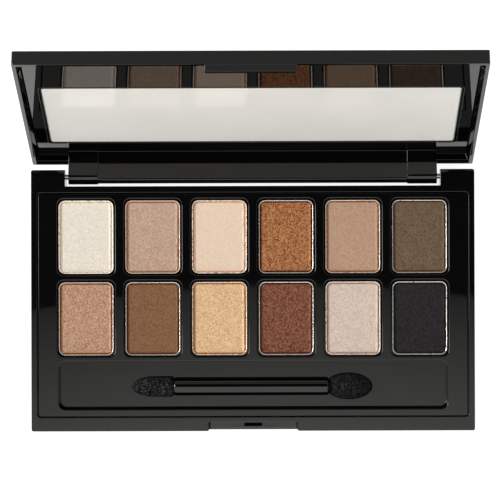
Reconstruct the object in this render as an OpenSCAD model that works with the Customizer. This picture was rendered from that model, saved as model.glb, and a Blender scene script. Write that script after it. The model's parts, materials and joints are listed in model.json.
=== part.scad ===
// Eyeshadow palette: a shallow black case with a hinged mirror lid, twelve pans and an applicator.
// Millimetres. +X right, +Y towards the hinge, +Z up. The origin is the centre of the base's underside.

/* [Case] */
// Width of the case, left to right
case_w = 130; // [128:0.5:134]
// Depth of the case, front edge to back edge
case_d = 76.66; // [76.5:0.02:77.5]
// Height of the base, from its underside to its rim
base_h = 9.5; // [9.5:0.1:10]
// Thickness of the base's floor
floor_t = 1.2; // [0.8:0.1:1.4]
// Radius of the case's upright corners
corner_r = 0.6; // [0.3:0.1:1]

/* [Lid] */
// Height of the lid, from its rim to its outer face
lid_h = 4.1; // [4:0.1:4.6]
// Thickness of the lid's front and back walls
lid_wall = 1.4; // [1.2:0.1:1.8]
// Thickness of the lid's side walls at the rim
side_rim = 1.15; // [1:0.05:1.4]
// Thickness of the lid's side walls at the liner
side_root = 1.95; // [1.5:0.05:2.2]
// Thickness of the lid's flat panel
panel_t = 1.35; // [1.2:0.05:1.5]
// Angle between the lid and the base as the lid stands open
open_angle = 109; // [0:1:109]

/* [Hinge] */
// Distance from the hinge axis to the back edge of the case
hinge_inset = 2; // [2:0.05:2.1]
// Height of the hinge axis above the base's underside
hinge_z = 5; // [4.9:0.05:5.1]
// Distance from the hinge axis to the rim plane of the lid
rim_q = 4.6; // [4.6:0.05:4.7]
// Radius of the hinge pins
pin_r = 0.75; // [0.6:0.05:0.8]
// Length of each hinge pin
pin_l = 14; // [12:0.5:18]
// Radius of the knuckle's round end sections
knuckle_r = 2.2; // [2:0.05:2.3]
// Width of each hinge ear
ear_w = 10; // [8:0.5:12]
// Gap between an ear and the end of the knuckle
ear_gap = 0.8; // [0.5:0.1:1]
// Length of each round end section of the knuckle
knuckle_end_l = 8.7; // [6:0.1:12]

/* [Pans] */
// Columns of pans
columns = 6; // [6:1:6]
// Distance between columns
column_pitch = 19.56; // [19.4:0.02:19.7]
// Distance between the two rows
row_pitch = 23.94; // [23.8:0.02:24]
// Width of a well in the deck
well_w = 17; // [16.8:0.1:17.2]
// Depth of a well in the deck, front to back
well_d = 22.5; // [22.1:0.1:22.6]
// Width of a metal pan
pan_w = 16; // [15.8:0.1:16.4]
// Depth of a metal pan, front to back
pan_d = 21.4; // [21.2:0.1:21.8]
// Height of a metal pan
pan_h = 3.9; // [3.6:0.1:3.9]
// Thickness of the pan's sheet metal
pan_t = 0.3; // [0.2:0.05:0.4]
// Depth of the powder's surface below the pan's edge
powder_drop = 0.3; // [0.1:0.05:0.5]

/* [Tray and applicator] */
// Length of the applicator tray
tray_l = 114; // [112:0.5:115]
// Width of the applicator tray, front to back
tray_d = 14.35; // [13:0.05:14.4]
// Radius of the applicator's handle
handle_r = 2.6; // [2.2:0.1:2.7]
// Length of the applicator's handle between the foam tips
handle_l = 45.6; // [40:0.2:50]
// Length of the pointed foam tip
point_l = 12.3; // [11:0.1:13]
// Width of the pointed foam tip
point_w = 6.05; // [5.8:0.05:6.2]
// Length of the oval foam tip
oval_l = 13; // [12:0.1:13.5]
// Width of the oval foam tip
oval_w = 7.9; // [7.6:0.1:8.2]

/* [Latch] */
// Width of the latch tab
tab_w = 25; // [22:0.5:27]
// Thickness of the latch tab
tab_t = 2.45; // [2.2:0.05:2.5]
// Length of the latch tab below the lid's rim
tab_l = 1.95; // [1.8:0.05:2.1]

/* [Mirror] */
// Width of the mirror
mirror_w = 117.4; // [110:0.2:118]
// Height of the mirror
mirror_d = 41.6; // [38:0.2:42]
// Thickness of the mirror glass
mirror_t = 0.8; // [0.7:0.05:0.9]
// Distance from the hinge axis to the mirror's near edge
mirror_u = 10.65; // [10:0.05:12]
// Width of the raised lip around the mirror
lip_w = 0.8; // [0.6:0.1:1]
// Distance from the hinge axis to the liner's near edge
liner_u = 6.65; // [5:0.05:8]

/* [Hidden] */
$fn = 48;
eps = 0.01;
ROWS = ["back", "front"];
PAN_PLACES = [for (row = [0:1], column = [0:columns - 1]) [row, column]];
function pan_node(kind, place) = str(kind, "_", ROWS[place[0]], "_", place[1] + 1);

black = "#141416";
pan_metal = "#c9c6c0";
POWDER_COLOURS = [
    ["#e9e4d8", "#c3a79c", "#eecdb3", "#9a6136", "#b98f7c", "#5d4c3f"],
    ["#c99f86", "#7a553c", "#deb27a", "#5b3328", "#dcc3b5", "#1b1a1b"]
];

// hinge
axis_y = case_d / 2 - hinge_inset;
ear_r = rim_q - 0.1;
ear_bevel = 3.3;
notch_front_y = axis_y - 2.83;
notch_w = case_w - 2 * ear_w;
knuckle_l = notch_w - 2 * ear_gap;
knuckle_bar_r = knuckle_r - 0.25;
knuckle_corner_r = 0.85;
knuckle_fade = 5;
pin_clearance = 0.05;
pin_sink = 0.3;

// deck, seated in the base's cavity
deck_gap = 0.1;
side_wall = 1.75;
cavity_w = case_w - 2 * side_wall;
cavity_back_y = notch_front_y - 1.88;
cavity_front_y = -case_d / 2 + 4.05;
cavity_d = cavity_back_y - cavity_front_y;
cavity_y = (cavity_back_y + cavity_front_y) / 2;
cavity_r = 1.05;
deck_top = base_h - 0.3;
deck_t = 1.2;
cup_t = 0.9;
well_floor = 4.7;
well_r = 2;
back_row_y = 18.6;
tray_floor = 3.4;
tray_y = -25.02;

// pans
glue_t = 0.25;
glue_r = 3;
pan_r = 1.9;
pan_z = well_floor + glue_t;
powder_w = pan_w - 2 * pan_t;
powder_d = pan_d - 2 * pan_t;
powder_r = pan_r - pan_t;

// applicator, lying on the tray's floor
applicator_x = -0.6;
applicator_y = -25.45;
applicator_z = tray_floor + handle_r;
stem_r = 1;
stem_l = 7;
foam_t = 4.4;
handle_end_r = 0.7;
shoulder_r = 0.35;
nose_l = 6;
neck_r = 2.1;
// Points of a quarter or more of an ellipse: half width w, half length l, from the angle start to 90 degrees.
function ellipse_points(w, l, start) = [for (step = [0:12]) let (a = start + (90 - start) * step / 12)
    [step < 12 ? w * cos(a) : 0, l * sin(a)]];

// latch pocket in the base's front edge
pocket_play = 0.15;
pocket_w = tab_w + 2 * pocket_play;
pocket_back_y = -case_d / 2 + 2.63;
pocket_front_y = -case_d / 2 + 0.68;
pocket_slope = 0.4;
ledge_z = 6.3;
grip_z = 1.4;
slot_w = 5.1;
slot_d = 0.85;
slot_h = 2.5;
tab_step = 0.1;
tab_slope = 0.34;
snap_r = 0.12;

// lid, in its own closed frame: origin on the hinge axis, Y towards the back, Z up
lid_back = hinge_inset;
lid_front = lid_back - case_d;
lid_top = rim_q + lid_h;
panel_q = lid_top - panel_t;
liner_t = 0.55;
liner_q = panel_q - liner_t;
liner_gap = 0.1;
liner_play = 0.3;
lip_q = liner_q - 0.12;
mirror_q = liner_q + 0.15;
tape_t = 0.1;
pocket_q = mirror_q + mirror_t + tape_t;
lead_in = 0.8;
mirror_y = -mirror_u - mirror_d / 2;
mirror_r = 1;

// A rectangle with round corners, centred on its own middle.
module round_rect(w, d, r) {
    square([w - 2 * r, d], center = true);
    square([w, d - 2 * r], center = true);
    for (x = [-1, 1], y = [-1, 1]) translate([x * (w / 2 - r), y * (d / 2 - r)]) circle(r);
}

// A plate with round corners, standing from z up to z + h.
module plate(w, d, r, z, h) {
    translate([0, 0, z]) linear_extrude(h) round_rect(w, d, r);
}

// A profile drawn in the Y-Z plane, run along X and centred on X = 0.
module along_x(length) {
    rotate([90, 0, 90]) linear_extrude(length, center = true) children();
}

// A round bar along X, from x0 to x1.
module bar_x(r, x0, x1) {
    translate([x0, 0, 0]) rotate([0, 90, 0]) cylinder(r = r, h = x1 - x0);
}

module at_axis() {
    translate([0, axis_y, hinge_z]) children();
}

module at_pan(place) {
    x = (place[1] - (columns - 1) / 2) * column_pitch;
    translate([x, back_row_y - place[0] * row_pitch, 0]) children();
}

module at_applicator() {
    translate([applicator_x, applicator_y, applicator_z]) children();
}

// Turns the closed lid's frame to the open angle.
module lid_pose() {
    at_axis() rotate([-open_angle, 0, 0]) children();
}

// What lies behind the arc over each ear, so that the lid's rim clears the ears as it turns.
module ear_back_cut() {
    at_axis() difference() {
        translate([-case_w / 2 - 1, 0, 0]) cube([case_w + 2, hinge_inset + 1, rim_q + 1]);
        bar_x(ear_r, -case_w / 2 - 2, case_w / 2 + 2);
    }
}

// The bevel under each ear, which leaves room for the lid's rear wall as it swings down behind.
module ear_bevel_cut() {
    side = ear_bevel * sqrt(2);
    translate([0, case_d / 2, 0]) rotate([45, 0, 0]) cube([case_w + 2, side, side], center = true);
}

// The pocket that takes the latch tab, with sloping sides, a finger recess below it and a slot in its ledge.
module latch_pocket() {
    bevel = pocket_front_y + case_d / 2;
    half = pocket_w / 2;
    top = half + pocket_slope;
    out = -case_d / 2 - 1;
    depth = pocket_back_y - out;
    translate([0, out + depth / 2, 0]) rotate([90, 0, 0]) linear_extrude(depth, center = true) polygon([
        [-half, ledge_z], [half, ledge_z], [top, base_h], [top, base_h + 1], [-top, base_h + 1], [-top, base_h]
    ]);
    translate([0, 0, grip_z]) linear_extrude(base_h) polygon([
        [-half, pocket_front_y], [half, pocket_front_y], [half + bevel + 1, out], [-half - bevel - 1, out]
    ]);
    translate([-slot_w / 2, pocket_back_y - 0.4 - slot_d, ledge_z - slot_h]) cube([slot_w, slot_d, slot_h + 1]);
}

// Low ribs on the floor that carry the deck's cups.
module floor_ribs() {
    rib_t = 1;
    rib_top = well_floor - cup_t;
    for (side = [-1, 1]) translate([side * column_pitch - rib_t / 2, -12, 0]) cube([rib_t, 40, rib_top]);
}

module base_shell() color(black) difference() {
    union() {
        difference() {
            plate(case_w, case_d, corner_r, 0, base_h);
            translate([0, cavity_y, 0]) plate(cavity_w, cavity_d, cavity_r, floor_t, base_h);
        }
        floor_ribs();
    }
    translate([-notch_w / 2, notch_front_y, -1]) cube([notch_w, case_d, base_h + 2]);
    ear_back_cut();
    ear_bevel_cut();
    latch_pocket();
    at_axis() bar_x(pin_r, -case_w / 2 - 1, case_w / 2 + 1);
}

module pan_deck() color(black) difference() {
    w = cavity_w - 2 * deck_gap;
    d = cavity_d - 2 * deck_gap;
    r = cavity_r - deck_gap;
    union() {
        translate([0, cavity_y, 0]) plate(w, d, r, deck_top - deck_t, deck_t);
        translate([0, cavity_y, 0]) difference() {
            plate(w, d, r, floor_t, deck_top - floor_t - eps);
            plate(w - 2 * cup_t, d - 2 * cup_t, r, 0, deck_top);
        }
        for (place = PAN_PLACES) at_pan(place)
            plate(well_w + 2 * cup_t, well_d + 2 * cup_t, well_r + cup_t, well_floor - cup_t,
                  deck_top - well_floor);
        translate([0, tray_y, 0])
            plate(tray_l + 2 * cup_t, tray_d + 2 * cup_t, well_r + cup_t, tray_floor - cup_t,
                  deck_top - tray_floor);
    }
    for (place = PAN_PLACES) at_pan(place) plate(well_w, well_d, well_r, well_floor, base_h);
    translate([0, tray_y, 0]) plate(tray_l, tray_d, well_r, tray_floor, base_h);
}

module pan_glue_dots() color("#e8e2c8") for (place = PAN_PLACES) at_pan(place)
    translate([0, 0, well_floor]) cylinder(r = glue_r, h = glue_t);

module pan(place) color(pan_metal) at_pan(place) difference() {
    plate(pan_w, pan_d, pan_r, pan_z, pan_h);
    plate(powder_w, powder_d, powder_r, pan_z + pan_t, pan_h);
}

module powder(place) color(POWDER_COLOURS[place[0]][place[1]]) at_pan(place)
    plate(powder_w, powder_d, powder_r, pan_z + pan_t, pan_h - pan_t - powder_drop);

// The handle's half profile: a straight bar with rounded ends and a thin stem into each foam tip.
module handle_profile() {
    half = handle_l / 2;
    square_l = handle_l - 2 * handle_end_r;
    translate([0, -square_l / 2]) square([handle_r, square_l]);
    translate([0, -half]) square([handle_r - handle_end_r, handle_l]);
    for (end = [-1, 1]) translate([handle_r - handle_end_r, end * square_l / 2]) intersection() {
        circle(handle_end_r);
        translate([0, end * handle_end_r]) square(2 * handle_end_r, center = true);
    }
    translate([0, -half - stem_l]) square([stem_r, handle_l + 2 * stem_l]);
}

module applicator_handle() color(black) at_applicator()
    rotate([0, 90, 0]) rotate_extrude() intersection() {
        handle_profile();
        translate([0, -handle_l]) square([handle_r, 2 * handle_l]);
    }

// A foam body of revolution along X, flattened above and below, with a hole for the stem.
module foam(x) {
    translate([x, 0, 0]) difference() {
        intersection() {
            children();
            cube([60, 20, foam_t], center = true);
        }
        bar_x(stem_r, -stem_l, stem_l);
    }
}

// Pointed tip: a short barrel with a long rounded nose.
module applicator_tip_pointed() color("#1a1a1b") at_applicator() foam(-handle_l / 2)
    rotate([0, -90, 0]) rotate_extrude() polygon(concat(
        [[0, 0], [point_w / 2 - shoulder_r, 0], [point_w / 2, shoulder_r]],
        [for (p = ellipse_points(point_w / 2, nose_l, 0)) [p[0], point_l - nose_l + p[1]]]
    ));

// Oval tip: an ellipse of revolution, cut where it meets the handle.
module applicator_tip_oval() color("#1a1a1b") at_applicator() foam(handle_l / 2) {
    start = -acos(2 * neck_r / oval_w);
    half_l = oval_l / (1 - sin(start));
    rotate([0, 90, 0]) rotate_extrude() polygon(concat(
        [[0, 0]],
        [for (p = ellipse_points(oval_w / 2, half_l, start)) [p[0], oval_l - half_l + p[1]]]
    ));
}

module hinge_pin(side) color("silver") at_axis() {
    outer = case_w / 2 - pin_sink;
    x = side > 0 ? outer - pin_l : -outer;
    bar_x(pin_r, x, x + pin_l);
}

// Knuckle section at its ends: a round barrel under a flat web.
module knuckle_round_profile() {
    circle(knuckle_r);
    translate([-knuckle_r, 0]) square([knuckle_r + lid_back, panel_q + eps]);
}

// Knuckle section in the middle: the web's front face runs lower, to a tighter corner.
module knuckle_bar_profile() {
    r = knuckle_corner_r;
    circle(knuckle_bar_r);
    translate([r - knuckle_bar_r, r - knuckle_bar_r]) circle(r);
    translate([-knuckle_bar_r, r - knuckle_bar_r]) square([r, knuckle_bar_r]);
    translate([-knuckle_bar_r, 0]) square([knuckle_bar_r + lid_back, panel_q + eps]);
}

// The bar's lower corner fades into the round end sections along a sloping cut.
module knuckle() {
    end_x = knuckle_l / 2 - knuckle_end_l / 2;
    bar_half = knuckle_l / 2 - knuckle_end_l;
    difference() {
        along_x(2 * bar_half) knuckle_bar_profile();
        for (side = [-1, 1]) translate([side * bar_half, 0, 0]) rotate([-45, 0, 0])
            rotate([0, -side * knuckle_fade, 0]) translate([0, 0, -knuckle_r - 1]) cube([20, 4, 2], center = true);
    }
    for (side = [-1, 1]) translate([side * end_x, 0, 0]) along_x(knuckle_end_l) knuckle_round_profile();
}

// Tab that hangs from the lid's front edge. Its end slopes back, and a small snap bead sits on its inner face.
module latch_tab() {
    tip = rim_q - tab_l;
    outer = lid_front + tab_step;
    inner = lid_front + tab_t;
    along_x(tab_w) polygon([[outer, tip], [inner, tip + tab_slope], [inner, panel_q], [outer, panel_q]]);
    translate([0, inner, tip + tab_slope + 0.5]) bar_x(snap_r, -slot_w / 2, slot_w / 2);
}

// The lid's hollow, with side walls that lean inwards from the rim to the panel.
module lid_hollow() {
    rim = case_w / 2 - side_rim;
    slope = (side_root - side_rim) / (liner_q - rim_q);
    root = rim - slope * (panel_q - rim_q);
    d = case_d - 2 * lid_wall;
    translate([0, (lid_front + lid_back) / 2, 0]) rotate([90, 0, 0]) linear_extrude(d, center = true)
        polygon([[-rim, 0], [rim, 0], [rim, rim_q], [root, panel_q], [-root, panel_q], [-rim, rim_q]]);
}

module lid_shell() color(black) lid_pose() difference() {
    union() {
        difference() {
            translate([0, (lid_front + lid_back) / 2, 0]) plate(case_w, case_d, corner_r, rim_q, lid_h);
            lid_hollow();
        }
        knuckle();
        latch_tab();
    }
    for (side = [-1, 1]) rotate([0, side * 90, 0])
        translate([0, 0, case_w / 2 - pin_sink - pin_l - 0.4]) cylinder(r = pin_r + pin_clearance, h = pin_l);
    translate([0, mirror_y, 0])
        plate(mirror_w + 2 * liner_gap, mirror_d + 2 * liner_gap, mirror_r, rim_q, pocket_q - rim_q);
    rear_lead_in();
}

// The bevel on the inner edge of the rear wall, left and right of the knuckle.
module rear_lead_in() {
    inner = lid_back - lid_wall;
    length = case_w / 2 - side_rim - knuckle_l / 2;
    for (side = [-1, 1]) translate([side * (knuckle_l + length) / 2, 0, 0]) along_x(length) polygon([
        [inner - eps, rim_q - eps], [inner + lead_in, rim_q - eps], [inner - eps, rim_q + lead_in]
    ]);
}

// The frame around the mirror. It stops short of the hinge, and is notched around the latch tab's root.
module lid_liner() color(black) lid_pose() difference() {
    w = case_w - 2 * side_root - 2 * liner_play;
    front = lid_front + lid_wall + liner_gap;
    d = -liner_u - front;
    union() {
        translate([0, front + d / 2, 0]) plate(w, d, corner_r, liner_q, liner_t);
        translate([0, mirror_y, 0])
            plate(mirror_w + 2 * lip_w, mirror_d + 2 * lip_w, mirror_r + lip_w, lip_q, panel_q - lip_q);
    }
    translate([0, mirror_y, 0])
        plate(mirror_w + 2 * liner_gap, mirror_d + 2 * liner_gap, mirror_r, 0, lid_top);
    translate([-tab_w / 2 - liner_gap, lid_front, 0]) cube([tab_w + 2 * liner_gap, tab_t + liner_gap, lid_top]);
}

module mirror_glass() color("lightblue") lid_pose() translate([0, mirror_y, 0])
    plate(mirror_w, mirror_d, mirror_r, mirror_q, mirror_t);

module mirror_tape() color("dimgray") lid_pose() translate([0, mirror_y, 0])
    plate(mirror_w - 6, mirror_d - 6, mirror_r, pocket_q - tape_t, tape_t);

base_shell();
pan_deck();
pan_glue_dots();
for (place = PAN_PLACES) {
    pan(place);
    powder(place);
}
applicator_handle();
applicator_tip_pointed();
applicator_tip_oval();
hinge_pin(-1);  // hinge_pin_left
hinge_pin(1);  // hinge_pin_right
lid_shell();
lid_liner();
mirror_glass();  // mirror
mirror_tape();
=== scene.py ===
import json
import math
from collections import namedtuple

import bmesh
import bpy
from mathutils import Matrix, Vector, noise
from mathutils.geometry import tessellate_polygon


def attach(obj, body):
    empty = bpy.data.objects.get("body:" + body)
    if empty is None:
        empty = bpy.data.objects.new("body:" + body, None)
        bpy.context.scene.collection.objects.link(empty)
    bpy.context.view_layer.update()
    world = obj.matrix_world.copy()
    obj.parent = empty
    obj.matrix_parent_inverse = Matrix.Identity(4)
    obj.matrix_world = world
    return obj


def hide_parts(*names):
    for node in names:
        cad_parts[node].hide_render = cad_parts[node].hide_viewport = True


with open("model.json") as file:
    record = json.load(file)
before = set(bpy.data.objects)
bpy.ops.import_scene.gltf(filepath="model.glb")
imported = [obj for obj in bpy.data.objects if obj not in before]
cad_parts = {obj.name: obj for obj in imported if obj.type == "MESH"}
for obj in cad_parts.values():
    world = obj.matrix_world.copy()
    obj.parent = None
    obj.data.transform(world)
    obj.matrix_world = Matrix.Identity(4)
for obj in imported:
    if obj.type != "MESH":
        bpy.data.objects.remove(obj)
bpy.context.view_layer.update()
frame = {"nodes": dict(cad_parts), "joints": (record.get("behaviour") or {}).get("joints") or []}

# Lengths below are in millimetres, and become metres where a mesh is made. The stage and lamps are in metres.
MM = 0.001
NODES = frame["nodes"]
HINGE = frame["joints"][0]
AXIS = Vector(HINGE["pos_m"]) / MM
OPEN_ANGLE = math.radians(HINGE["range_deg"][1])
# The lid is built closed, with its origin on the hinge axis, then turned open about it.
LID_OPEN = Matrix.Translation(AXIS) @ Matrix.Rotation(-OPEN_ANGLE, 4, "X")
HOLD = 0.04  # distance of the edge loop that keeps a flat face flat beside a rounded edge


# ---------------------------------------------------------------- reading sizes from the frame

Box = namedtuple("Box", "lo hi mid size")


def box(node, inverse=Matrix.Identity(4)):
    """Lowest corner, highest corner, middle and size of a CAD node, in millimetres."""
    points = [inverse @ (v.co / MM) for v in NODES[node].data.vertices]
    lo = Vector([min(p[i] for p in points) for i in range(3)])
    hi = Vector([max(p[i] for p in points) for i in range(3)])
    return Box(lo, hi, (lo + hi) / 2, hi - lo)


def lid_box(node):
    """The same in the closed lid's own frame."""
    return box(node, LID_OPEN.inverted())


# ---------------------------------------------------------------- mesh building

class Builder:
    """Collects rings of points in millimetres and makes one mesh object of them."""

    def __init__(self):
        self.points = []
        self.faces = []

    def ring(self, points):
        start = len(self.points)
        self.points += [Vector(p) for p in points]
        return list(range(start, len(self.points)))

    def bridge(self, a, b):
        count = len(a)
        for i in range(count):
            j = (i + 1) % count
            self.faces.append([a[i], a[j], b[j], b[i]])

    def cap(self, ring):
        self.faces.append(list(ring))

    def fill(self, outer, holes):
        """Flat face with holes, between rings that lie in one plane."""
        loops = [outer] + holes
        flat = [i for loop in loops for i in loop]
        triangles = tessellate_polygon([[self.points[i] for i in loop] for loop in loops])
        self.faces += [[flat[i] for i in t] for t in triangles]

    def loft(self, rings):
        made = [self.ring(r) for r in rings]
        for a, b in zip(made, made[1:]):
            self.bridge(a, b)
        return made

    def make(self, name, matrix=Matrix.Identity(4), sharp=50):
        mesh = bpy.data.meshes.new(name)
        mesh.from_pydata([(matrix @ p) * MM for p in self.points], [], self.faces)
        bm = bmesh.new()
        bm.from_mesh(mesh)
        bmesh.ops.remove_doubles(bm, verts=bm.verts, dist=0.0005 * MM)
        bmesh.ops.recalc_face_normals(bm, faces=bm.faces)
        bm.to_mesh(mesh)
        bm.free()
        return add_object(name, mesh, sharp)


def add_object(name, mesh, sharp):
    for polygon in mesh.polygons:
        polygon.use_smooth = True
    mesh.set_sharp_from_angle(angle=math.radians(sharp))
    made = bpy.data.objects.new(name, mesh)
    bpy.context.scene.collection.objects.link(made)
    return made


def rounded_path(corners, radii, steps=5):
    """Points along a path with each inner corner rounded, and a holding point beside each arc."""
    points = [Vector(corners[0])]
    for before, corner, after, radius in zip(corners, corners[1:], corners[2:], radii):
        corner = Vector(corner)
        to_before = (Vector(before) - corner).normalized()
        to_after = (Vector(after) - corner).normalized()
        half = to_before.angle(to_after) / 2
        reach = radius / math.tan(half)
        centre = corner + (to_before + to_after).normalized() * radius / math.sin(half)
        start, end = corner + to_before * reach, corner + to_after * reach
        points.append(start + to_before * HOLD)
        for step in range(steps + 1):
            blend = start.lerp(end, step / steps) - centre
            points.append(centre + blend.normalized() * radius)
        points.append(end + to_after * HOLD)
    points.append(Vector(corners[-1]))
    return points


def outline(width, depth, radius, centre=(0, 0), corner_steps=8, spacing=None):
    """Points of a rectangle with round corners, going round anticlockwise."""
    cx, cy = centre
    hx, hy = width / 2 - radius, depth / 2 - radius
    points = []
    corners = ((1, 1, 0), (-1, 1, 90), (-1, -1, 180), (1, -1, 270))
    for index, (sx, sy, turn) in enumerate(corners):
        for step in range(corner_steps + 1):
            angle = math.radians(turn + 90 * step / corner_steps)
            points.append((cx + sx * hx + radius * math.cos(angle), cy + sy * hy + radius * math.sin(angle)))
        if spacing:
            length = hx * 2 if index % 2 == 0 else hy * 2
            count = int(length / spacing)
            nx, ny = corners[(index + 1) % 4][:2]
            angle = math.radians(turn + 90)
            end = (cx + nx * hx + radius * math.cos(angle), cy + ny * hy + radius * math.sin(angle))
            start = points[-1]
            for step in range(1, count):
                t = step / count
                points.append((start[0] + (end[0] - start[0]) * t, start[1] + (end[1] - start[1]) * t))
    return points


def inset_rings(path, width, depth, radius, centre, **kw):
    """One ring for each (inset, z) of a path, following a rectangle with round corners."""
    rings = []
    for inset, z in path:
        ring = outline(width - 2 * inset, depth - 2 * inset, max(radius - inset, 0.05), centre, **kw)
        rings.append([(x, y, z) for x, y in ring])
    return rings


def lathe_x(name, profile, centre, flatten=1.0, segments=64, rough=None):
    """A body turned about X. profile is a list of (x, radius); flatten squeezes it in Z."""
    shape = Builder()
    rings = []
    for x, radius in profile:
        ring = []
        for i in range(segments):
            angle = 2 * math.pi * i / segments
            point = Vector((x, radius * math.cos(angle), radius * math.sin(angle) * flatten))
            ring.append(point + Vector(centre) + (rough(point, angle) if rough else Vector()))
        rings.append(ring)
    made = shape.loft(rings)
    shape.cap(made[0])
    shape.cap(made[-1])
    return shape.make(name)


# ---------------------------------------------------------------- materials

class Shader:
    """A node material with one Principled shader, and short names for the nodes used here."""

    def __init__(self, name, **sockets):
        self.material = bpy.data.materials.new(name)
        self.material.use_nodes = True
        self.nodes = self.material.node_tree.nodes
        self.links = self.material.node_tree.links
        self.bsdf = self.nodes["Principled BSDF"]
        self.place = self.nodes.new("ShaderNodeTexCoord").outputs["Object"]
        for socket, value in sockets.items():
            self.set(socket.replace("_", " "), value)

    def set(self, socket, value):
        target = self.bsdf.inputs[socket]
        if hasattr(value, "is_output"):
            self.links.new(value, target)
        elif hasattr(value, "__len__"):
            target.default_value = (*value[:3], 1)
        else:
            target.default_value = value

    def noise(self, size, detail=3, roughness=0.55, stretch=None):
        """Noise whose cells are about size millimetres wide."""
        node = self.nodes.new("ShaderNodeTexNoise")
        node.inputs["Scale"].default_value = 1 / (size * MM)
        node.inputs["Detail"].default_value = detail
        node.inputs["Roughness"].default_value = roughness
        self.links.new(self.stretched(stretch), node.inputs["Vector"])
        return node.outputs["Fac"]

    def cells(self, size, output="Distance"):
        node = self.nodes.new("ShaderNodeTexVoronoi")
        node.inputs["Scale"].default_value = 1 / (size * MM)
        self.links.new(self.place, node.inputs["Vector"])
        return node.outputs[output]

    def stretched(self, factors):
        if not factors:
            return self.place
        node = self.nodes.new("ShaderNodeMapping")
        node.inputs["Scale"].default_value = factors
        self.links.new(self.place, node.inputs["Vector"])
        return node.outputs["Vector"]

    def ramp(self, value, low, high, out_low=0.0, out_high=1.0):
        node = self.nodes.new("ShaderNodeMapRange")
        for name, number in zip(("From Min", "From Max", "To Min", "To Max"), (low, high, out_low, out_high)):
            node.inputs[name].default_value = number
        self.links.new(value, node.inputs["Value"])
        return node.outputs["Result"]

    def add(self, a, b):
        node = self.nodes.new("ShaderNodeMath")
        node.operation = "ADD"
        self.links.new(a, node.inputs[0])
        self.links.new(b, node.inputs[1])
        return node.outputs[0]

    def maths(self, operation, a, number):
        node = self.nodes.new("ShaderNodeMath")
        node.operation = operation
        self.links.new(a, node.inputs[0])
        node.inputs[1].default_value = number
        return node.outputs[0]

    def mix(self, factor, a, b):
        """Colour a where factor is 0 and b where it is 1."""
        node = self.nodes.new("ShaderNodeMix")
        node.data_type = "RGBA"
        self.links.new(factor, node.inputs["Factor"])
        for socket, value in (("A", a), ("B", b)):
            target = [s for s in node.inputs if s.name == socket and s.type == "RGBA"][0]
            if hasattr(value, "is_output"):
                self.links.new(value, target)
            else:
                target.default_value = (*value[:3], 1)
        return [s for s in node.outputs if s.type == "RGBA"][0]

    def bump(self, height, depth, strength=1.0, under=None):
        """Tilts the surface by a height map that is depth millimetres deep."""
        node = self.nodes.new("ShaderNodeBump")
        node.inputs["Distance"].default_value = depth * MM
        node.inputs["Strength"].default_value = strength
        self.links.new(height, node.inputs["Height"])
        if under:
            self.links.new(under, node.inputs["Normal"])
        return node.outputs["Normal"]


def shade(colour, factor):
    return tuple(c * factor for c in colour)


def gloss_black(name, base=0.0016, rough=0.018):
    """Black moulded plastic: high gloss with a faint ripple, fine dust and hairline scratches."""
    s = Shader(name, IOR=1.5)
    cloud = s.noise(9, detail=2)
    dust = s.ramp(s.noise(0.25, detail=1), 0.70, 0.78)
    s.set("Base Color", s.mix(dust, (base, base, base * 1.06), (base * 2.5,) * 3))
    s.set("Roughness", s.ramp(cloud, 0.3, 0.7, rough * 0.75, rough * 1.35))
    ripple = s.bump(s.noise(7, detail=1), 0.008, 0.25)
    s.set("Normal", s.bump(s.noise(0.5, detail=1, stretch=(0.12, 1, 1)), 0.0006, 0.5, under=ripple))
    return s.material


def matt_black(name):
    s = Shader(name, IOR=1.3)
    grit = s.noise(0.2, detail=2)
    s.set("Base Color", s.mix(grit, (0.001, 0.001, 0.001), (0.003, 0.003, 0.003)))
    s.set("Roughness", s.ramp(grit, 0.3, 0.7, 0.85, 1.0))
    return s.material


def pan_metal(name, dusting, dust_amount):
    """Drawn tinplate, dusted along the rim with the powder that it holds."""
    s = Shader(name, Metallic=0.9, IOR=1.5)
    grime = s.ramp(s.noise(0.7, detail=3), 0.62 - 0.3 * dust_amount, 0.72 - 0.2 * dust_amount)
    s.set("Base Color", s.mix(grime, (0.66, 0.63, 0.59), dusting))
    s.set("Roughness", s.ramp(s.noise(0.4, detail=2), 0.3, 0.7, 0.12, 0.28))
    s.set("Metallic", s.ramp(grime, 0, 1, 0.95, 0.1))
    s.set("Normal", s.bump(s.noise(0.3, detail=2), 0.004, 0.4))
    return s.material


# Width of the powder's specks and of the clumps that they form, and each one's share of the pattern.
SPECK = 0.27
CLUMP = 0.48
SPECK_SHARE = 0.78
CLUMP_SHARE = 0.22


def powder_material(name, colour, grain, shimmer):
    """Pressed powder: grain is the contrast of its specks, shimmer the share of mica in it."""
    s = Shader(name, IOR=1.06 + 0.3 * shimmer)
    speck = s.ramp(s.cells(SPECK, "Color"), 0.25, 0.75)
    clump = s.ramp(s.noise(CLUMP, detail=2, roughness=0.7), 0.32, 0.68)
    pattern = s.add(s.maths("MULTIPLY", speck, SPECK_SHARE), s.maths("MULTIPLY", clump, CLUMP_SHARE))
    cloud = s.noise(4.5, detail=2)
    # the specks are paler than the body, so the weaker channels vary more
    swing = [grain * (max(colour) / c) ** 0.45 for c in colour]
    dark = tuple(c * max(0.05, 1 - w) for c, w in zip(colour, swing))
    light = tuple(c * (1 + w) for c, w in zip(colour, swing))
    body = s.mix(pattern, dark, light)
    s.set("Base Color", s.mix(s.ramp(cloud, 0.35, 0.75, 0, 0.25), body, shade(colour, 1 - grain * 0.3)))
    s.set("Roughness", s.ramp(pattern, 0.2, 0.8, 0.9 - 0.25 * shimmer, 0.75 - 0.3 * shimmer))
    s.set("Metallic", s.ramp(pattern, 0.6, 0.95, 0.0, 0.4 * shimmer))
    s.set("Normal", s.bump(clump, 0.015, 0.2 + 0.2 * shimmer))
    return s.material


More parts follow.
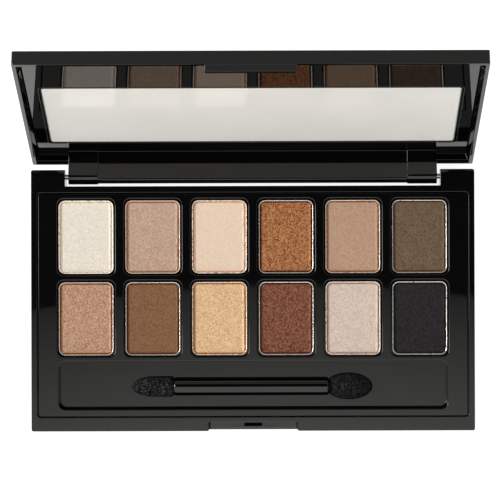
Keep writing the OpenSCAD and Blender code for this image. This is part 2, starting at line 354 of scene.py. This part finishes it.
def groove_shaded_crumb_material(name, colour, level):
    """The loose, broken powder around a cake, in a richer tone of its colour, level times as bright. Where
    level is below 1, the darker, richer tone is painted shade of the groove between cake and pan.
    """
    s = Shader(name, IOR=1.15)
    crumbs_and_shade = s.noise(0.35, detail=4, roughness=0.7)
    # darker, richer tone: painted shade of the groove where level is below 1
    rich = tuple(c * (c / max(colour)) ** 1.2 for c in colour)
    dark, light = shade(rich, level * 0.6), shade(rich, level * 1.25)
    s.set("Base Color", s.mix(s.ramp(crumbs_and_shade, 0.42, 0.62), dark, light))
    s.set("Roughness", s.ramp(crumbs_and_shade, 0.3, 0.7, 0.85, 1.0))
    s.set("Normal", s.bump(crumbs_and_shade, 0.06, 0.8))
    return s.material


def foam_material(name, fleck_and_highlight):
    """Black sponge: dark pores with a few paler flecks, whose colour is partly a painted highlight, stronger
    on a worn tip.
    """
    s = Shader(name, IOR=1.12)
    pores = s.cells(0.3)
    flecks = s.ramp(s.cells(0.27, "Color"), 0.64, 0.80)
    patches = s.ramp(s.noise(0.8, detail=3), 0.35, 0.6)
    body = s.mix(patches, (0.0015, 0.0014, 0.0015), (0.008, 0.0076, 0.008))
    # the flecks' colour, partly painted highlight
    s.set("Base Color", s.mix(flecks, body, (fleck_and_highlight, fleck_and_highlight * 0.96, fleck_and_highlight)))
    s.set("Roughness", s.ramp(pores, 0.1, 0.6, 1.0, 0.85))
    s.set("Normal", s.bump(pores, 0.10, 0.9, under=s.bump(s.noise(0.15, detail=2), 0.05, 0.6)))
    return s.material


def mirror_material():
    """Silvered glass under a thin pale haze, so that it shows bright with only a faint reflection."""
    s = Shader("mirror_silvering", IOR=1.26)
    haze = s.noise(18, detail=2)
    s.set("Base Color", s.mix(s.ramp(haze, 0.3, 0.7), (0.67, 0.665, 0.637), (0.71, 0.705, 0.68)))
    s.set("Metallic", 0.022)
    s.set("Roughness", s.ramp(s.noise(6, detail=3), 0.3, 0.7, 0.02, 0.05))
    return s.material


def glass_edge_material():
    s = Shader("mirror_ground_edge", IOR=1.5)
    frost = s.noise(0.3, detail=3)
    s.set("Base Color", s.mix(s.ramp(frost, 0.3, 0.7), (0.55, 0.62, 0.60), (0.75, 0.80, 0.78)))
    s.set("Roughness", s.ramp(frost, 0.3, 0.7, 0.15, 0.3))
    return s.material


def pin_material():
    s = Shader("pin_wire", Metallic=1.0)
    streak = s.noise(0.3, detail=2, stretch=(0.05, 1, 1))
    s.set("Base Color", s.mix(s.ramp(streak, 0.3, 0.7), (0.55, 0.55, 0.56), (0.72, 0.72, 0.73)))
    s.set("Roughness", s.ramp(streak, 0.3, 0.7, 0.18, 0.34))
    return s.material


def adhesive_material(name, colour):
    s = Shader(name, IOR=1.45)
    mottle = s.noise(1.2, detail=3)
    s.set("Base Color", s.mix(s.ramp(mottle, 0.3, 0.7), shade(colour, 0.85), colour))
    s.set("Roughness", s.ramp(mottle, 0.3, 0.7, 0.35, 0.6))
    s.set("Normal", s.bump(mottle, 0.05, 0.5))
    return s.material


# ---------------------------------------------------------------- CAD shells that keep their shape

def soften(node, edge, material):
    """Rounds the sharp edges of a CAD node that stays, and gives it its material."""
    piece = NODES[node]
    weld = piece.modifiers.new("weld", "WELD")
    weld.merge_threshold = 0.001 * MM
    flatten = piece.modifiers.new("flatten", "DECIMATE")
    flatten.decimate_type = "DISSOLVE"
    flatten.angle_limit = math.radians(0.5)
    bevel = piece.modifiers.new("edges", "BEVEL")
    bevel.width = edge * MM
    bevel.segments = 3
    bevel.limit_method = "ANGLE"
    bevel.use_clamp_overlap = False
    bevel.loop_slide = False
    bevel.angle_limit = math.radians(35)
    smooth = piece.modifiers.new("flat_faces", "WEIGHTED_NORMAL")
    smooth.mode = "FACE_AREA"
    smooth.weight = 100
    smooth.thresh = 0.001
    for polygon in piece.data.polygons:
        polygon.use_smooth = True
    piece.data.materials.clear()
    piece.data.materials.append(material)


# The catch slot and the sides of the latch pocket, from the middle of the case and from its front face.
SLOT_HALF_WIDTH = 2.6
SLOT_REACH = (1.3, 2.3)
SLOT_TOP = 6.29
POCKET_SIDES = (12.3, 14.3)
POCKET_DEPTH = 4.5


def darken_slot(material):
    """The catch slot and the sides of the latch pocket are rough, not polished."""
    base = NODES["base_shell"]
    base.data.materials.append(material)
    front = box("base_shell").lo.y
    for polygon in base.data.polygons:
        place = base.matrix_world @ polygon.center / MM
        across, inwards = abs(place.x), place.y - front
        in_slot = across < SLOT_HALF_WIDTH and SLOT_REACH[0] < inwards < SLOT_REACH[1] and place.z < SLOT_TOP
        faces_middle = polygon.normal.x * place.x < -0.1
        on_side = POCKET_SIDES[0] < across < POCKET_SIDES[1] and inwards < POCKET_DEPTH and faces_middle
        if in_slot or on_side:
            polygon.material_index = 1


# ---------------------------------------------------------------- deck

DECK_EDGE = 0.14
DECK_UNDER_EDGE = 0.1
DECK_RADIUS = 0.95
DECK_PLAY = 0.25
DECK_WALL = 0.75
DECK_PLATE = 1.0
WELL_EDGE = 0.24
WELL_FLOOR_EDGE = 0.15
WELL_RADIUS = 2.0
WELL_PLAY = (1.0, 1.1)  # how much wider and deeper a well is than its pan
WELL_BELOW = 0.25  # how far a well's floor lies below its pan
RIM_REACH = 0.5  # flat strip of the top around each rounded edge
FLOOR_REACH = 1.6  # flat strip of the floor inside a well
TRAY_WIDTH = 114
TRAY_TO_WELLS = 1.255
TRAY_TO_FRONT = 2.2
TRAY_DRAFT = 0.45  # how far the tray's front wall leans back


def well_shapes():
    """Centre, width, depth, floor height and draft of the front wall, for each hollow in the deck."""
    shapes = []
    for node in sorted(n for n in NODES if n.startswith("pan_") and n != "pan_deck" and "glue" not in n):
        pan = box(node)
        width, depth = pan.size.x + WELL_PLAY[0], pan.size.y + WELL_PLAY[1]
        shapes.append(((pan.mid.x, pan.mid.y), width, depth, pan.lo.z - WELL_BELOW, 0.0))
    deck = box("pan_deck")
    front_well = min(centre[1] - depth / 2 for centre, width, depth, *_ in shapes)
    tray_back = front_well - TRAY_TO_WELLS
    tray_front = deck.lo.y + TRAY_TO_FRONT
    tray_centre = (deck.mid.x, (tray_back + tray_front) / 2)
    tray_floor = box("applicator_handle").lo.z
    shapes.append((tray_centre, TRAY_WIDTH, tray_back - tray_front, tray_floor, TRAY_DRAFT))
    return shapes


def well_path(grow, top, bottom):
    """Section of a well's wall: with rounded edges on the face (grow = 0), plain on the underside."""
    if grow:
        return [(-grow, top), (-grow, bottom)]
    corners = [(-RIM_REACH, top), (0, top), (0, bottom), (FLOOR_REACH, bottom)]
    return rounded_path(corners, [WELL_EDGE, WELL_FLOOR_EDGE])


def lean_front(ring, middle, amount):
    """The ring with its front half moved towards the back."""
    return [(x, y + amount if y < middle else y, z) for x, y, z in ring]


def make_deck(material):
    """The deck's face and its underside, each a skirt and a plate with the wells let in."""
    lo, hi, mid, size = box("pan_deck")
    shape = Builder()
    feet = []
    for grow, top in ((0.0, hi.z), (DECK_WALL, hi.z - DECK_PLATE)):
        edge = max(DECK_EDGE - grow, DECK_UNDER_EDGE)
        side = grow + DECK_PLAY
        path = rounded_path([(side + RIM_REACH, top), (side, top), (side, lo.z)], [edge])
        skirt = shape.loft(inset_rings(path, size.x, size.y, DECK_RADIUS, (mid.x, mid.y)))
        feet.append(skirt[-1])
        holes = []
        for place, width, depth, floor, draft in well_shapes():
            bottom = floor - grow
            rings = inset_rings(well_path(grow, top, bottom), width, depth, WELL_RADIUS, place)
            leans = [draft * (top - ring[0][2]) / (top - bottom) for ring in rings]
            made = shape.loft([lean_front(ring, place[1], lean) for ring, lean in zip(rings, leans)])
            shape.cap(made[-1])
            holes.append(made[0])
        shape.fill(skirt[0], holes)
    shape.bridge(*feet)
    deck = shape.make("deck_moulding")
    deck.data.materials.append(material)
    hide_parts("pan_deck")
    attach(deck, "base")


# ---------------------------------------------------------------- pans and powders

PAN_RADIUS = 1.9
PAN_WALL = 0.3
PAN_MIDDLE = 6  # how far in from the sides the flat floor is closed
PAN_FOOT = 0.6  # radius of the outer bend at the floor
PAN_LIP = (0.005, 0.18)  # radii of the rim's outer and inner edge
PAN_BOWL = 0.4  # radius of the inner bend at the floor
# name, colour, contrast of the specks, share of mica, brightness of the crumbs around the cake (below 1 this
# is painted shade of the groove by the pan wall)
POWDERS = {
    "powder_back_1": ("ivory", (0.572, 0.525, 0.464), 0.15, 0.5, 1.30),
    "powder_back_2": ("pink_taupe", (0.369, 0.254, 0.191), 0.26, 0.5, 0.85),
    "powder_back_3": ("peach_cream", (0.575, 0.446, 0.356), 0.09, 0.0, 1.10),
    "powder_back_4": ("bronze", (0.262, 0.098, 0.026), 0.70, 0.8, 0.32),
    "powder_back_5": ("dusty_tan", (0.350, 0.223, 0.156), 0.19, 0.25, 0.80),
    "powder_back_6": ("grey_brown", (0.113, 0.076, 0.051), 0.33, 0.1, 0.75),
    "powder_front_1": ("rose_gold", (0.335, 0.197, 0.129), 0.40, 0.7, 0.60),
    "powder_front_2": ("mid_brown", (0.160, 0.082, 0.044), 0.24, 0.0, 0.60),
    "powder_front_3": ("light_gold", (0.523, 0.345, 0.199), 0.31, 0.7, 0.72),
    "powder_front_4": ("burgundy_brown", (0.142, 0.053, 0.0245), 0.62, 0.6, 0.50),
    "powder_front_5": ("champagne", (0.488, 0.398, 0.346), 0.20, 0.5, 0.85),
    "powder_front_6": ("soft_black", (0.0187, 0.0177, 0.0182), 0.45, 0.0, 0.60),
}
DUSTED = {"ivory": 1.1, "pink_taupe": 1.0, "peach_cream": 0.8, "champagne": 0.9, "dusty_tan": 0.7,
          "light_gold": 0.7, "rose_gold": 0.6, "mid_brown": 0.3}
LIGHTLY_DUSTED = 0.12
DUST_SHADE = 1.5
# The die leaves a border this wide at the left, right, back and front of each cake.
DIE_BORDER = (0.40, 0.60, 0.42, 0.42)
DIE_DEPTH = 0.22
DIE_SLOPE = (0.25, 0.50, 0.25, 0.25)
CAKE_GAP = 0.03
CAKE_RADIUS = 1.6
CAKE_SIDE = 1.2  # height of the cake's side
# width of the crumbled ring by the pan wall, which also carries painted shade of the groove there
CRUMB_AND_SHADE_RING = 0.42
EDGE_DROP = 0.16
CHIP_REACH = 1.0
CHIP_DEPTH = 0.16
DEEPEST = 0.6
# Distances of the cake's rings from its side: the first ones crumble, and they spread out towards the middle.
EDGE_INSETS = [CAKE_GAP, CAKE_GAP, 0.10, 0.17, 0.25, 0.32, 0.36, CRUMB_AND_SHADE_RING]
BORDER_INSETS = [round(0.48 + 0.06 * step, 2) for step in range(12)]
FACE_INSETS = [1.22, 1.34, 1.55, 1.9, 2.4, 3.2, 4.0, 5.0, 6.0, 7.0, 7.5]
CRUMBLED_RINGS = 5


def make_pan(node, material):
    lo, hi, mid, size = box(node)
    floor = lo.z + PAN_WALL
    corners = [(PAN_MIDDLE, lo.z), (0, lo.z), (0, hi.z)]
    corners += [(PAN_WALL, hi.z), (PAN_WALL, floor), (PAN_MIDDLE, floor)]
    path = rounded_path(corners, [PAN_FOOT, *PAN_LIP, PAN_BOWL], steps=4)
    shape = Builder()
    made = shape.loft(inset_rings(path, size.x, size.y, PAN_RADIUS, (mid.x, mid.y)))
    shape.cap(made[0])
    shape.cap(made[-1])
    pan = shape.make(node.replace("pan_", "tin_"))
    pan.data.materials.append(material)
    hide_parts(node)
    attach(pan, "base")


def die_share(point, mid, size, shift):
    """How deep the die has pressed at a point: 0 on the border, 1 in the hollow. shift moves the border."""
    left, right, back, front = DIE_BORDER
    x, y = point[0] - mid.x, point[1] - mid.y
    inside = (
        x + size.x / 2 - left, size.x / 2 - right - x,
        size.y / 2 - back - y, y + size.y / 2 - front,
    )
    shares = [min(1.0, max(0.0, (d + shift) / slope)) for d, slope in zip(inside, DIE_SLOPE)]
    across, along = min(shares[:2]), min(shares[2:])
    share = 1 - min(1.0, math.hypot(1 - across, 1 - along))
    return share * share * (3 - 2 * share)


def powder_height(point, mid, size, inset, seed):
    """How far the cake's surface lies below its highest level at a point, in millimetres."""
    where = Vector((point[0], point[1], seed * 3.7))
    fine = noise.noise(where * 4.5) * 0.6 + noise.noise(where * 9.0) * 0.4
    coarse = noise.noise(where * 0.9)
    level = DIE_DEPTH * die_share(point, mid, size, coarse * 0.06)
    rounded = max(0.0, 1 - inset / CRUMB_AND_SHADE_RING) ** 0.8 * EDGE_DROP
    # chips break away from the back and right edges where the noise is high
    right = (point[0] - mid.x) / (size.x / 2)
    back = (point[1] - mid.y) / (size.y / 2)
    weak = 0.10 + 0.34 * max(0.0, right - 0.8) * 5 + 0.26 * max(0.0, back - 0.85) * 6
    chip = 0.0
    if inset < CHIP_REACH and fine * 0.7 + coarse * 0.5 + weak > 0.34 + inset * 0.5:
        chip = CHIP_DEPTH + CHIP_DEPTH * abs(fine)
    wave = 0.012 * noise.noise(where * 0.35)
    return min(DEEPEST, level + rounded + chip + 0.02 + wave + 0.010 * fine)


def make_powder(node, seed):
    name, colour, grain, shimmer, crumbs_and_shade = POWDERS[node]
    hi, mid, size = box(node)[1:]
    count = 320
    shape = Builder()
    solid = []
    for index, inset in enumerate(EDGE_INSETS + BORDER_INSETS + FACE_INSETS):
        width, depth = size.x - 2 * inset, size.y - 2 * inset
        radius = max(CAKE_RADIUS - inset, 0.1)
        ring = resample(outline(width, depth, radius, (mid.x, mid.y), 14), count)
        if index < CRUMBLED_RINGS:
            ring = [wander(p, mid, 0.05 * noise.noise(Vector((p[0] * 2, p[1] * 2, seed)))) for p in ring]
        if index == 0:
            solid.append([(x, y, hi.z - CAKE_SIDE) for x, y in ring])
        else:
            solid.append([(x, y, hi.z - powder_height((x, y), mid, size, inset, seed)) for x, y in ring])
    made = shape.loft(solid)
    shape.cap(made[0])
    shape.cap(made[-1])
    cake = shape.make("cake_" + name, sharp=80)
    cake.data.materials.append(powder_material("powder_" + name, colour, grain, shimmer))
    cake.data.materials.append(groove_shaded_crumb_material("groove_shaded_crumb_" + name, colour, crumbs_and_shade))
    # the ring by the pan wall gets the crumb material, which holds painted shade of the groove between cake
    # and pan
    edge = size.x / 2 - CRUMB_AND_SHADE_RING, size.y / 2 - CRUMB_AND_SHADE_RING
    for polygon in cake.data.polygons:
        centre = polygon.center / MM
        outside = abs(centre.x - mid.x) > edge[0] or abs(centre.y - mid.y) > edge[1]
        polygon.material_index = 1 if outside else 0
    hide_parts(node)
    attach(cake, "base")


def wander(point, mid, amount):
    """The point moved inwards or outwards by an amount along the line from the middle."""
    away = Vector((point[0] - mid.x, point[1] - mid.y)).normalized() * (amount - 0.03)
    return point[0] + away.x, point[1] + away.y


def resample(points, count):
    """The closed outline as count points, spread evenly by length."""
    loop = [Vector(p) for p in points]
    loop.append(loop[0])
    lengths = [0.0]
    for a, b in zip(loop, loop[1:]):
        lengths.append(lengths[-1] + (b - a).length)
    result = []
    segment = 0
    for i in range(count):
        target = lengths[-1] * i / count
        while lengths[segment + 1] < target:
            segment += 1
        span = lengths[segment + 1] - lengths[segment]
        t = (target - lengths[segment]) / span if span else 0
        result.append(tuple(loop[segment].lerp(loop[segment + 1], t)))
    return result


def make_pans_and_powders():
    for seed, node in enumerate(POWDERS):
        name, colour = POWDERS[node][:2]
        metal = pan_metal("tin_" + name, shade(colour, DUST_SHADE), DUSTED.get(name, LIGHTLY_DUSTED))
        make_pan(node.replace("powder", "pan"), metal)
        make_powder(node, seed)


# ---------------------------------------------------------------- applicator

NECK = 1.0  # radius of the handle's ends, inside the tips
ON_AXIS = 0.01  # radius at which a turned body is closed


def make_applicator(plastic):
    lo, hi, mid, size = box("applicator_handle")
    pointed, oval = box("applicator_tip_pointed"), box("applicator_tip_oval")
    r = size.z / 2
    left, right = pointed.hi.x, oval.lo.x
    corners = [(lo.x, ON_AXIS), (lo.x, NECK), (left, NECK), (left, r)]
    corners += [(right, r), (right, NECK), (hi.x, NECK), (hi.x, ON_AXIS)]
    path = rounded_path(corners, [0.3, 0.05, 0.6, 0.6, 0.05, 0.3], steps=6)
    handle = lathe_x("applicator_stick", path, (0, mid.y, mid.z), segments=96)
    handle.data.materials.append(plastic)
    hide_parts("applicator_handle")
    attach(handle, "base")
    centre = (mid.y, mid.z)
    # the second number is the flecks' colour, partly painted highlight, more on the worn tip
    worn, fresh = foam_material("sponge_worn", 0.045), foam_material("sponge_fresh", 0.026)
    make_tip("sponge_pointed", "applicator_tip_pointed", left, -1, centre, worn, point_radius, 0.22)
    make_tip("sponge_oval", "applicator_tip_oval", right, 1, centre, fresh, oval_radius, 0.07)


BARREL_SHARE = 0.5  # share of the pointed tip before its nose
OVAL_START = -0.847  # where the ellipse is cut, with its middle at 0 and its end at 1


def point_radius(t):
    """Half width of the pointed tip, from its shoulder (t = 0) to its nose (t = 1)."""
    shoulder = min(1.0, 0.88 + t * 2.4)
    nose = max(0.0, (t - BARREL_SHARE) / (1 - BARREL_SHARE))
    return shoulder * math.sqrt(max(0.0, 1 - nose * nose))


def oval_radius(t):
    """Half width of the oval tip: an ellipse cut where it meets the handle."""
    x = OVAL_START + (1 - OVAL_START) * t
    return math.sqrt(max(0.0, 1 - x * x))


def make_tip(name, node, root, side, centre, material, radius_at, wear):
    """A foam tip from its root at the handle, towards side. wear roughens it more at its end."""
    size = box(node).size
    steps = 90
    half = size.y / 2 - 0.05

    def rough(point, angle):
        where = point * 2.6 + Vector((side * 9, 0, 0))
        bumps = noise.noise(where) * 0.5 + noise.noise(where * 2.3) * 0.5
        along = min(1.0, abs(point.x - root) / size.x)
        return Vector((0, math.cos(angle), math.sin(angle))) * (bumps - 0.5) * (0.07 + wear * along ** 2)

    profile = [(root + side * 0.03, 0.95)]
    for step in range(steps + 1):
        t = (step / steps) ** 0.9 if side > 0 else 1 - (1 - step / steps) ** 1.6
        profile.append((root + side * (0.03 + (size.x - 0.1) * t), max(0.02, half * radius_at(t))))
    flatten = (size.z - 0.1) / size.y
    tip = lathe_x(name, profile, (0, centre[0], centre[1]), flatten=flatten, segments=96, rough=rough)
    tip.data.materials.append(material)
    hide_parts(node)
    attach(tip, "base")


# ---------------------------------------------------------------- hinge pins and glue

def make_pins():
    steel = pin_material()
    for side in ("left", "right"):
        lo, hi, mid, size = box("hinge_pin_" + side)
        r = size.z / 2
        path = rounded_path([(lo.x, ON_AXIS), (lo.x, r), (hi.x, r), (hi.x, ON_AXIS)], [0.15, 0.15], steps=3)
        pin = lathe_x("hinge_wire_" + side, path, (0, mid.y, mid.z), segments=32)
        pin.data.materials.append(steel)
        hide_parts("hinge_pin_" + side)
        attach(pin, "base")


GLUE_RADIUS = 2.6
GLUE_BULGE = 0.35
GLUE_WOBBLE = 0.12


def make_glue(material):
    """A flattened drop of glue under each pan."""
    shape = Builder()
    bottom = box("pan_glue_dots").lo.z
    for node in POWDERS:
        pan = box(node.replace("powder", "pan"))
        mid = pan.mid
        rings = []
        for step in range(7):
            radius = GLUE_RADIUS + GLUE_BULGE * math.sin(math.pi * step / 6)
            z = bottom + (pan.lo.z - bottom) * step / 6
            ring = []
            for i in range(40):
                angle = 2 * math.pi * i / 40
                across, along = math.cos(angle), math.sin(angle)
                reach = radius + GLUE_WOBBLE * noise.noise(Vector((across, along, mid.x + mid.y)))
                ring.append((mid.x + reach * across, mid.y + reach * along, z))
            rings.append(ring)
        made = shape.loft(rings)
        shape.cap(made[0])
        shape.cap(made[-1])
    glue = shape.make("glue_drops")
    glue.data.materials.append(material)
    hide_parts("pan_glue_dots")
    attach(glue, "base")


# ---------------------------------------------------------------- mirror

MIRROR_BEVEL = (0.35, 0.18)  # width and depth of the ground bevel
MIRROR_ARRIS = 0.05
MIRROR_RADIUS = 1.0
MIRROR_MIDDLE = 4  # how far in from the edges its faces are closed


def make_mirror():
    lo, hi, mid, size = lid_box("mirror")
    bevel, depth = MIRROR_BEVEL
    side = lo.z + depth
    path = [(MIRROR_MIDDLE, lo.z), (bevel + HOLD, lo.z), (bevel, lo.z), (HOLD, side - 0.02), (0, side)]
    path += [(0, side + HOLD), (0, hi.z - MIRROR_ARRIS), (MIRROR_ARRIS, hi.z), (MIRROR_MIDDLE, hi.z)]
    shape = Builder()
    made = shape.loft(inset_rings(path, size.x, size.y, MIRROR_RADIUS, (mid.x, mid.y)))
    shape.cap(made[0])
    shape.cap(made[-1])
    glass = shape.make("mirror_glass", LID_OPEN, sharp=20)
    glass.data.materials.append(mirror_material())
    glass.data.materials.append(glass_edge_material())
    back = LID_OPEN.to_3x3() @ Vector((0, 0, -1))
    for polygon in glass.data.polygons:
        polygon.material_index = 0 if polygon.normal.dot(back) > 0.95 else 1
    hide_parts("mirror")
    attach(glass, "lid")


# ---------------------------------------------------------------- stage, light and camera

CAMERA_HEIGHT = 868.2
CAMERA_FOOT = (5.57, 14.0)
CAMERA_LENS = 211
CAMERA_SENSOR = 36
CAMERA_ROLL = -0.17  # degrees
CAMERA_SHIFT = (-0.0436, 0.0047)


def make_camera():
    data = bpy.data.cameras.new("camera")
    data.lens = CAMERA_LENS
    data.sensor_width = CAMERA_SENSOR
    data.shift_x, data.shift_y = CAMERA_SHIFT
    data.clip_start = 0.05
    data.clip_end = 20
    camera = bpy.data.objects.new("camera", data)
    camera.location = Vector((*CAMERA_FOOT, CAMERA_HEIGHT)) * MM
    camera.rotation_euler = (0, 0, math.radians(CAMERA_ROLL))
    bpy.context.scene.collection.objects.link(camera)
    bpy.context.scene.camera = camera


def make_sheet(name, x, y, z):
    """A flat stage sheet over the given spans of X and Y, in metres."""
    mesh = bpy.data.meshes.new(name)
    corners = [(x[0], y[0], z), (x[1], y[0], z), (x[1], y[1], z), (x[0], y[1], z)]
    mesh.from_pydata(corners, [], [(0, 1, 2, 3)])
    sheet = bpy.data.objects.new(name, mesh)
    bpy.context.scene.collection.objects.link(sheet)
    return sheet


DAYLIGHT = (1.0, 0.985, 0.95)
FLOOR_GLOW = 0.92


def make_floor():
    """White paper that also glows, so that it stays white in every gap."""
    floor = make_sheet("floor", (-4, 4), (-4, 4), 0)
    s = Shader("floor_paper", Roughness=0.9)
    s.set("Base Color", s.mix(s.noise(4, detail=3), (0.24, 0.24, 0.24), (0.26, 0.26, 0.26)))
    s.set("Emission Color", (1, 1, 1))
    s.set("Emission Strength", FLOOR_GLOW)
    floor.data.materials.append(s.material)


# The softbox is black behind its edge, which bows forward to both sides. Each part of its light has the Y
# where it starts and ends, going forward from the edge, and its brightness at those two places.
BOW = 0.46
BOW_MIDDLE = 0.02
EDGE_LIGHT = (-0.0120, -0.0135, 0.0, 0.31)
RISING_LIGHT = (-0.0135, -0.150, 0.0, 1.15)
FRONT_LIGHT = (-0.15, -0.40, 0.0, 0.1)


def make_overhead():
    """A large overhead softbox with a bowed edge, dark behind it."""
    sheet = make_sheet("overhead_softbox", (-0.75, 0.75), (-1.1, 1.05), 1.5)
    s = Shader("softbox_cloth", Base_Color=(0, 0, 0), Roughness=1)
    axes = s.nodes.new("ShaderNodeSeparateXYZ")
    s.links.new(s.place, axes.inputs["Vector"])
    bow = s.maths("MULTIPLY", s.maths("POWER", s.maths("ADD", axes.outputs["X"], -BOW_MIDDLE), 2.0), BOW)
    y = s.add(axes.outputs["Y"], bow)
    near, far, beyond = s.ramp(y, *EDGE_LIGHT), s.ramp(y, *RISING_LIGHT), s.ramp(y, *FRONT_LIGHT)
    s.set("Emission Color", DAYLIGHT)
    s.set("Emission Strength", s.add(s.add(near, far), beyond))
    sheet.data.materials.append(s.material)


KEY_PLACE = (-1.0, 0.25, 0.75)
KEY_SIZE = 0.6
KEY_POWER = 16.7


def make_area(name, place, target, size, power, colour):
    data = bpy.data.lights.new(name, "AREA")
    data.shape = "DISK"
    data.size = size
    data.energy = power
    data.color = colour
    lamp = bpy.data.objects.new(name, data)
    lamp.location = place
    lamp.rotation_euler = (Vector(target) - Vector(place)).to_track_quat("-Z", "Y").to_euler()
    bpy.context.scene.collection.objects.link(lamp)


BRIGHT_SIDE = (-0.45, -0.85, 0.25)
# Where the room's light starts and stops rising towards that side, and its two levels.
ROOM_LIGHT = (0.1, 0.8, 0.50, 1.5)


def make_world():
    """The room: dim everywhere, brighter towards the front and the left."""
    world = bpy.data.worlds.new("studio")
    bpy.context.scene.world = world
    world.use_nodes = True
    nodes, links = world.node_tree.nodes, world.node_tree.links
    place = nodes.new("ShaderNodeTexCoord")
    towards = nodes.new("ShaderNodeVectorMath")
    towards.operation = "DOT_PRODUCT"
    towards.inputs[1].default_value = Vector(BRIGHT_SIDE).normalized()
    ramp = nodes.new("ShaderNodeMapRange")
    for socket, value in zip(("From Min", "From Max", "To Min", "To Max"), ROOM_LIGHT):
        ramp.inputs[socket].default_value = value
    links.new(place.outputs["Generated"], towards.inputs[0])
    links.new(towards.outputs["Value"], ramp.inputs["Value"])
    links.new(ramp.outputs["Result"], nodes["Background"].inputs["Strength"])
    nodes["Background"].inputs["Color"].default_value = (*DAYLIGHT, 1)


def make_studio():
    make_camera()
    make_floor()
    make_overhead()
    make_world()
    make_area("key_left", KEY_PLACE, (0, 0, 0), KEY_SIZE, KEY_POWER, DAYLIGHT)
    bpy.context.scene.view_settings.view_transform = "Standard"


# ---------------------------------------------------------------- the object

make_studio()
case_black = gloss_black("case_gloss_black")
deck_black = gloss_black("deck_gloss_black")
lid_black = gloss_black("lid_gloss_black")
liner_black = gloss_black("liner_gloss_black", base=0.001, rough=0.02)
handle_black = gloss_black("handle_gloss_black", base=0.001, rough=0.03)
soften("base_shell", 0.14, case_black)
soften("lid_shell", 0.12, lid_black)
soften("lid_liner", 0.06, liner_black)
darken_slot(matt_black("slot_matt_black"))
make_deck(deck_black)
make_pans_and_powders()
make_applicator(handle_black)
make_pins()
make_glue(adhesive_material("clear_glue", (0.75, 0.70, 0.55)))
make_mirror()
NODES["mirror_tape"].data.materials.clear()
NODES["mirror_tape"].data.materials.append(adhesive_material("tape_foam", (0.08, 0.08, 0.08)))
